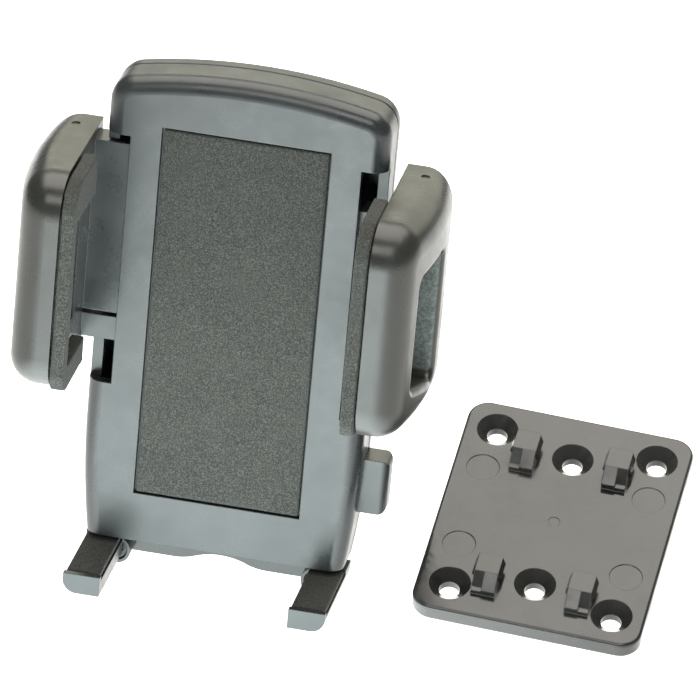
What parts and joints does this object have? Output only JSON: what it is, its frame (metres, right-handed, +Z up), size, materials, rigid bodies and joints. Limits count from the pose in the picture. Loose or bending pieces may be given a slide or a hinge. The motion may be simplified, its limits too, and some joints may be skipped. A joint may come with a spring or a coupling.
{
  "type": "car phone mount",
  "caption": "Phone cradle with two sliding padded jaws, folding feet on a sliding tray and a side release button, with a separate clawed screw-on plate",
  "frame": {"origin": "the middle of the four claw sockets, on the cradle's rear face", "axes": "+Z up along the standing cradle, -Y is the front where the phone lies, +X to the cradle's right seen from the front"},
  "size_m": [0.1214, 0.0577, 0.1001],
  "materials": {
    "shell": "satin, very fine grain",
    "plate": "satin, slightly worn",
    "foam": "speckled closed-cell foam",
    "screw_steel": "zinc plated",
    "black_steel": "black oxide",
    "spring_steel": "drawn wire",
    "gear_plastic": "natural acetal"
  },
  "bodies": {
    "casing": {"front_shell": "shell", "rear_shell": "shell", "front_pad": "foam", "casing_screws": "black_steel", "pinion_screw": "screw_steel", "pawl_pin": "screw_steel", "drive_spring": "spring_steel", "button_spring": "spring_steel", "tray_detent_spring": "spring_steel"},
    "left_jaw": {"left_jaw_arm": "shell", "left_jaw_cover": "shell", "left_jaw_pad": "foam"},
    "right_jaw": {"right_jaw_arm": "shell", "right_jaw_cover": "shell", "right_jaw_pad": "foam"},
    "pinion": {"pinion": "gear_plastic"},
    "button": {"release_button": "shell"},
    "pawl": {"locking_pawl": "gear_plastic"},
    "tray": {"foot_tray": "shell", "foot_screws": "black_steel", "foot_washers": "black_steel"},
    "left_foot": {"left_foot": "shell", "left_foot_pad": "foam"},
    "right_foot": {"right_foot": "shell", "right_foot_pad": "foam"},
    "plate": {"mounting_plate": "plate"}
  },
  "joints": [
    {"name": "left_jaw_slide", "type": "slide", "parent": "casing", "child": "left_jaw", "axis": [-1, 0, 0], "range_m": [-0.0022, 0.016]},
    {"name": "right_jaw_slide", "type": "slide", "parent": "casing", "child": "right_jaw", "axis": [1, 0, 0], "range_m": [-0.0022, 0.016]},
    {"name": "pinion_spin", "type": "hinge", "parent": "casing", "child": "pinion", "pos_m": [0, -0.0068, 0.007], "axis": [0, 1, 0], "range_deg": [-22, 154]},
    {"name": "button_press", "type": "slide", "parent": "casing", "child": "button", "axis": [-1, 0, 0], "range_m": [0, 0.003], "stiffness_N_per_m": 300, "springref_m": -0.004, "deforming": ["button_spring"]},
    {"name": "pawl_pivot", "type": "hinge", "parent": "casing", "child": "pawl", "pos_m": [0, -0.0068, -0.016], "axis": [0, 1, 0], "range_deg": [0, 11.5]},
    {"name": "tray_slide", "type": "slide", "parent": "casing", "child": "tray", "axis": [0, 0, -1], "range_m": [0, 0.012]},
    {"name": "left_foot_hinge", "type": "hinge", "parent": "tray", "child": "left_foot", "pos_m": [-0.0187, -0.0069, -0.0526], "axis": [0, -1, 0], "range_deg": [0, 90]},
    {"name": "right_foot_hinge", "type": "hinge", "parent": "tray", "child": "right_foot", "pos_m": [0.0187, -0.0069, -0.0526], "axis": [0, 1, 0], "range_deg": [0, 90]},
    {"name": "plate_slide", "type": "slide", "parent": "casing", "child": "plate", "axis": [1, 0, 0], "range_m": [0, 0.05]}
  ],
  "couplings": [
    {"joint": "right_jaw_slide", "follows": "left_jaw_slide", "ratio": 1},
    {"joint": "pinion_spin", "follows": "left_jaw_slide", "rad_per_m": 166.67},
    {"joint": "pawl_pivot", "follows": "button_press", "rad_per_m": 63.3}
  ]
}
